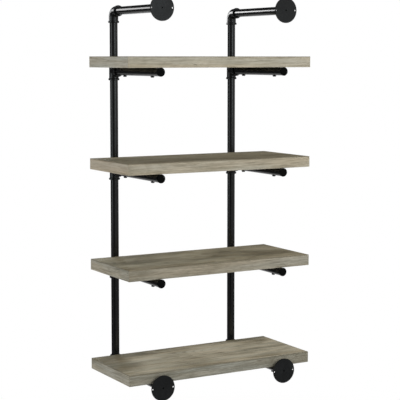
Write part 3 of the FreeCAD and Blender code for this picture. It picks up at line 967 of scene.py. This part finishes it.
@dataclass
class Bolts:
    """Sixteen domed bolts that come up through the arms into the boards, four in a set."""

    pitch: Pair = BOLT_PITCH
    shank_radius: float = 0.003
    root_radius: float = 0.00255
    thread_pitch: float = 0.001
    thread_length: float = 0.018
    thread_runout: float = 0.0004
    thread_rows: int = 4
    flank_slope: float = 2.4
    tip_height: float = 0.0006
    head_radius: float = 0.0055
    head_height: float = 0.004
    brim_height: float = 0.0011
    dome_steps: int = 7
    edge_break: float = 0.0003
    key_size: float = 0.004
    key_depth: float = 0.0022
    key_rim_drop: float = 0.00012
    crown_share: float = 0.66
    sides: int = 36
    turn_seed: int = 11

    def rings(self, length: float) -> List[Pair]:
        """List the rings of the head and the plain shank, from the crown to the thread.

        Args:
            length: the bolt's whole length, from its head's lowest point.

        Returns:
            Pairs of radius and height over the head's lowest point.
        """
        crown = self.key_size * self.crown_share
        rings = [(crown, 0.0)]
        for step in range(1, self.dome_steps + 1):
            angle = math.pi / 2 * step / self.dome_steps
            radius = crown + (self.head_radius - crown) * math.sin(angle)
            height = (self.head_height - self.brim_height) * (1 - math.cos(angle))
            rings.append((radius, height))
        return rings + [
            (self.head_radius, self.head_height - self.edge_break),
            (self.head_radius - self.edge_break, self.head_height),
            (self.shank_radius + self.edge_break, self.head_height),
            (self.shank_radius, self.head_height + self.edge_break),
            (self.shank_radius, length - self.thread_length - self.thread_runout),
        ]

    def ring(self, mesh: bmesh.types.BMesh, radii: Sequence[float], height: float) -> Ring:
        """Add a ring of points.

        Args:
            mesh: the bolt under construction.
            radii: how far each point stands from the axis.
            height: the ring's height.

        Returns:
            The points in order.
        """
        step = 2 * math.pi / self.sides
        return [
            mesh.verts.new((radius * math.cos(step * i), radius * math.sin(step * i), height))
            for i, radius in enumerate(radii)
        ]

    def thread(self, mesh: bmesh.types.BMesh, length: float) -> List[Ring]:
        """Add the thread as rings whose radius follows the helix.

        Args:
            mesh: the bolt under construction.
            length: the bolt's whole length.

        Returns:
            The rings, bottom first.
        """
        steps = int(round(self.thread_length / self.thread_pitch * self.thread_rows))
        flank = self.shank_radius - self.root_radius
        rings = []
        for row in range(steps):
            height = length - self.thread_length + (self.thread_length - self.tip_height) * row / steps
            turns = [(height / self.thread_pitch - i / self.sides) % 1.0 for i in range(self.sides)]
            shares = [min(1.0, abs(turn - HALF) * self.flank_slope) for turn in turns]
            rings.append(self.ring(mesh, [self.root_radius + flank * share for share in shares], height))
        rings.append(self.ring(mesh, [self.root_radius - self.edge_break] * self.sides, length))
        return rings

    def socket(self, mesh: bmesh.types.BMesh, rim: Ring) -> None:
        """Sink the hexagon socket into the head.

        Args:
            mesh: the bolt under construction.
            rim: the ring round the crown.
        """
        sixth = math.pi / 3
        angles = [2 * math.pi * i / self.sides for i in range(self.sides)]
        radii = [self.key_size / 2 / math.cos(angle % sixth - sixth / 2) for angle in angles]
        mouth = self.ring(mesh, radii, self.key_rim_drop)
        floor = self.ring(mesh, radii, self.key_depth)
        self.skin(mesh, [floor, mouth, rim])
        mesh.faces.new(floor)

    def skin(self, mesh: bmesh.types.BMesh, rings: List[Ring]) -> None:
        """Join rings of points with faces.

        Args:
            mesh: the bolt under construction.
            rings: the rings in order.
        """
        for lower, upper in zip(rings, rings[1:]):
            for i in range(self.sides):
                j = (i + 1) % self.sides
                mesh.faces.new((lower[i], lower[j], upper[j], upper[i]))

    def one(self, length: float) -> bpy.types.Mesh:
        """Build one bolt that stands on its head at the origin.

        Args:
            length: from the head's lowest point to the shank's end.

        Returns:
            Its mesh.
        """
        mesh = bmesh.new()
        rings = [self.ring(mesh, [radius] * self.sides, height) for radius, height in self.rings(length)]
        self.socket(mesh, rings[0])
        rings += self.thread(mesh, length)
        self.skin(mesh, rings)
        mesh.faces.new(rings[-1])
        bmesh.ops.recalc_face_normals(mesh, faces=mesh.faces[:])
        result = bpy.data.meshes.new("one_bolt")
        mesh.to_mesh(result)
        mesh.free()
        return result

    def recipe(self) -> Recipe:
        """Write the tree that sets four bolts at the corners of a grid, each turned by chance.

        Returns:
            The tree.
        """
        recipe = Recipe("bolt_set")
        pitch_x, pitch_y = recipe.input("Pitch X"), recipe.input("Pitch Y")
        seed = recipe.input("Turn Seed", "NodeSocketInt")
        material = recipe.input("Finish", "NodeSocketMaterial")
        limits = {2: 0.0, 3: math.pi / 3, "Seed": seed}
        turn = recipe.graph.add("FunctionNodeRandomValue", {"data_type": "FLOAT"}, limits, 1)
        bolts = on_bolt_places(pitch_x, pitch_y, recipe.source, recipe.graph.vector(z=turn))
        recipe.finish(set_material(bolts, material))
        return recipe

    def build(self) -> None:
        """Build the four sets."""
        recipe = self.recipe()
        finish = BLACK_OXIDE.build()
        for number in range(1, BOARD_COUNT + 1):
            node = f"shelf_bolts_{number}"
            low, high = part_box(node)
            values = {
                "Pitch X": self.pitch[0], "Pitch Y": self.pitch[1],
                "Turn Seed": self.turn_seed + number, "Finish": finish,
            }
            center = (low + high) / 2
            place = Matrix.Translation((center.x, center.y, low.z))
            piece = recipe.bake(f"bolt_set_{number}", self.one(high.z - low.z), values, place)
            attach(piece, "root")
            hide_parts(node)
            LOG.info("%s: %d faces", piece.name, len(piece.data.polygons))


# Pipe frames and inserts


def dress_node(name: str, material: bpy.types.Material) -> None:
    """Put a material on every slot of a CAD piece."""
    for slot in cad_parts[name].material_slots:
        slot.material = material


@dataclass
class PipeFrame:
    """One frame of pipes, tees, elbows, wall flanges and plugs, which keeps its CAD pieces."""

    side: Side
    shelf_arms: int = 3
    upright_pieces: int = 4

    def nodes(self, finish: str) -> List[str]:
        """List the CAD pieces that share a finish.

        Args:
            finish: pipe, casting, flange or plug.

        Returns:
            Their names.
        """
        numbers = range(1, self.shelf_arms + 1)
        names = {
            "pipe": ["top_arm", "bottom_arm"] + [f"shelf_arm_{i}" for i in numbers]
            + [f"upright_{i}" for i in range(1, self.upright_pieces + 1)],
            "casting": ["top_elbow", "bottom_elbow"] + [f"tee_{i}" for i in numbers],
            "flange": ["top_flange", "bottom_flange"],
            "plug": [f"arm_plug_{i}" for i in numbers],
        }
        return [f"{self.side.value}_{name}" for name in names[finish]]

    def dress(self, finishes: Mapping[str, bpy.types.Material]) -> None:
        """Put each finish on its CAD pieces.

        Args:
            finishes: the materials by the names that nodes takes.
        """
        for finish, material in finishes.items():
            for name in self.nodes(finish):
                dress_node(name, material)
            LOG.info("%s frame: %s", self.side.value, finish)


# Studio


@dataclass(frozen=True)
class Softbox:
    """A soft rectangular lamp that faces the shelf."""

    name: str
    place: Triple
    target: Triple
    width: float
    height: float
    radiance: float
    in_gloss: bool = True
    in_diffuse: bool = True
    color: Triple = WHITE
    only_on: Tuple[str, ...] = ()

    def build(self) -> None:
        """Hang the lamp."""
        data = bpy.data.lights.new(self.name, "AREA")
        data.shape = "RECTANGLE"
        data.size, data.size_y = self.width, self.height
        data.energy = self.radiance * math.pi * self.width * self.height
        data.color = self.color
        lamp = bpy.data.objects.new(self.name, data)
        lamp.location = self.place
        lamp.rotation_euler = (Vector(self.target) - Vector(self.place)).to_track_quat("-Z", "Y").to_euler()
        lamp.visible_camera = False
        lamp.visible_glossy = self.in_gloss
        lamp.visible_diffuse = self.in_diffuse
        bpy.context.scene.collection.objects.link(lamp)
        if self.only_on:
            lit = bpy.data.collections.new(self.name + "_lit")
            for node in self.only_on:
                lit.objects.link(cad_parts[node])
            lamp.light_linking.receiver_collection = lit
        LOG.info("softbox %s", self.name)


MIDDLE: Triple = (0.0, -0.15, 0.0)
COOL_WHITE: Triple = (0.86, 0.97, 1.0)
SOFTBOXES: Tuple[Softbox, ...] = (
    Softbox("wall_side_key", (-0.4, 3.0, 1.05), (0.0, -0.15, 0.1), 2.0, 1.7, 6.6, in_gloss=False),
    Softbox("end_fill", (3.4, 1.0, 0.7), MIDDLE, 1.6, 1.6, 6.5, in_gloss=False),
    Softbox("room_side_fill", (-0.9, -3.3, 0.9), MIDDLE, 1.6, 1.6, 3.8, in_gloss=False),
    Softbox(
        "wall_side_window", (-0.62, 3.8, 0.95), (0.0, -0.15, 0.3), 1.1, 1.9, 2.6, color=(0.84, 0.96, 1.0),
    ),
    Softbox(
        "room_side_window", (-0.8, -3.7, 0.3), MIDDLE, 0.7, 1.9, 2.4, in_diffuse=False, color=COOL_WHITE,
    ),
    Softbox("end_window", (3.9, -0.70, 0.35), MIDDLE, 1.1, 1.9, 1.8, color=COOL_WHITE),
    Softbox(
        "left_arm_strip", (0.32, -1.20, 0.70), (-0.206, -0.16, 0.54), 0.40, 0.40, 10.5,
        in_diffuse=False, only_on=("left_top_arm", "left_top_elbow"),
    ),
    Softbox(
        "right_arm_strip", (0.72, -1.20, 0.70), (0.206, -0.16, 0.54), 0.45, 0.40, 4.8,
        in_diffuse=False, only_on=("right_top_arm", "right_top_elbow"),
    ),
)


@dataclass(frozen=True)
class Gap:
    """A soft gap between the black flags of the studio, where gloss sees the white surround."""

    toward: Triple
    step: Pair
    share: float

    def whiten(self, way: Wire) -> Wire:
        """Work out how white the gap is in each direction."""
        return way.dot(self.toward).ramp(*self.step) * self.share


@dataclass
class Studio:
    """A pale floor, a white surround, softboxes and the camera at the photograph's angle."""

    lens: float = 114.5
    sensor_width: float = 36.0
    shift_y: float = -0.07
    eye: Triple = (1.88293, 3.14628, 0.39941)
    look: Triple = (-0.4941, -0.8649, -0.0891)
    floor_drop: float = 0.55
    floor_reach: float = 30.0
    floor_paint: Tuple[Triple, Triple] = ((0.80, 0.80, 0.80), (0.86, 0.86, 0.86))
    floor_mottle: Noise = Noise((3.0, 3.0, 3.0))
    floor_whitening: Quad = (0.7, 2.2, 0.72, 1.0)
    image_right_gap: Gap = Gap((-0.643, 0.766, 0.0), (0.34, 0.52), 0.50)
    image_left_gap: Gap = Gap((1.0, -0.03, 0.0), (0.80, 0.94), 0.36)
    low_gap: Gap = Gap((-0.20, -0.80, -0.56), (0.84, 0.97), 0.70)
    gap_fade: Quad = (-0.22, -0.02, 0.25, 1.0)
    flag_level: float = 0.05
    sky_level: Quad = (0.0, 0.8, 0.48, 0.28)
    away: Triple = (-0.496, -0.868, 0.0)
    near_level: Quad = (-1.0, 1.0, 0.05, 0.0)

    def camera(self) -> None:
        """Set the camera."""
        data = bpy.data.cameras.new("camera")
        data.sensor_width = self.sensor_width
        data.lens = self.lens
        data.shift_y = self.shift_y
        camera = bpy.data.objects.new("camera", data)
        camera.location = self.eye
        camera.rotation_euler = Vector(self.look).to_track_quat("-Z", "Y").to_euler()
        bpy.context.scene.collection.objects.link(camera)
        bpy.context.scene.camera = camera

    def floor(self) -> None:
        """Lay the floor, white to the camera but for the shelf's own shadow."""
        level = CAD_BOX[0][2] - self.floor_drop
        near, far = -self.floor_reach, self.floor_reach
        mesh = bpy.data.meshes.new("floor")
        corners = [(near, near, level), (far, near, level), (far, far, level), (near, far, level)]
        mesh.from_pydata(corners, [], [(0, 1, 2, 3)])
        material = bpy.data.materials.new("pale_floor")
        material.use_nodes = True
        graph = Graph(material.node_tree)
        point = graph.add("ShaderNodeTexCoord", out="Object")
        distance = graph.vector_math("LENGTH", graph.vector_math("MULTIPLY", point, (1.0, 1.0, 0.0)), out=1)
        paint = graph.mix(self.floor_mottle.draw(point), *self.floor_paint)
        matt = graph.add("ShaderNodeBsdfDiffuse", None, {"Color": paint})
        white = graph.add("ShaderNodeEmission", None, {"Color": WHITE, "Strength": 1.0})
        share = self.seeing(graph) * distance.ramp(*self.floor_whitening)
        mixed = graph.add("ShaderNodeMixShader", None, {0: share, 1: matt, 2: white})
        graph.end("ShaderNodeOutputMaterial", mixed)
        mesh.materials.append(material)
        floor = bpy.data.objects.new("floor", mesh)
        floor.visible_glossy = False
        bpy.context.scene.collection.objects.link(floor)

    def seeing(self, graph: Graph) -> Wire:
        """Pick the rays that see the white background: the camera's, and those of gloss and transmission.

        Args:
            graph: the material's or the world's graph.

        Returns:
            1 for those rays and 0 for the rays that only carry light.
        """
        rays = graph.add("ShaderNodeLightPath", out="Is Camera Ray")
        direct = graph.math("MAXIMUM", rays, rays.sister("Is Glossy Ray"))
        return graph.math("MAXIMUM", direct, rays.sister("Is Transmission Ray"))

    def surround(self) -> None:
        """Make the world white to the eye, white between soft black flags in gloss, and even as light."""
        world = bpy.data.worlds.new("surround")
        world.use_nodes = True
        graph = Graph(world.node_tree)
        way = graph.add("ShaderNodeTexCoord", out="Generated")
        height = way.axis("Z")
        sides = self.image_right_gap.whiten(way) + self.image_left_gap.whiten(way)
        gaps = self.flag_level + sides * height.ramp(*self.gap_fade) + self.low_gap.whiten(way)
        flags = graph.add("ShaderNodeLightPath", out="Is Glossy Ray") * (1 - gaps)
        level = height.ramp(*self.sky_level) + way.dot(self.away).ramp(*self.near_level)
        shade = graph.mix(self.seeing(graph), graph.mix(level, BLACK, WHITE), graph.mix(flags, WHITE, BLACK))
        background = graph.add("ShaderNodeBackground", None, {"Color": shade, "Strength": 1.0})
        graph.end("ShaderNodeOutputWorld", background)
        bpy.context.scene.world = world

    def build(self) -> None:
        """Set up the whole studio."""
        self.camera()
        self.floor()
        self.surround()
        for softbox in SOFTBOXES:
            softbox.build()
        bpy.context.scene.view_settings.view_transform = "Standard"
        LOG.info("studio ready")


def main() -> None:
    """Build the studio and dress the shelf."""
    logging.basicConfig(level=logging.INFO, format="%(name)s: %(message)s")
    Studio().build()
    finishes = {
        "pipe": LACQUERED_PIPE.build(),
        "casting": LACQUERED_CASTING.build(),
        "flange": LACQUERED_FLANGE.build(),
        "plug": PLUG_PLASTIC.build(),
    }
    for side in Side:
        PipeFrame(side).dress(finishes)
    Boards().build()
    Bolts().build()
    zinc = ZINC.build()
    for number in range(1, BOARD_COUNT + 1):
        dress_node(f"board_inserts_{number}", zinc)
        LOG.info("board_inserts_%d", number)


if __name__ == "__main__":
    main()
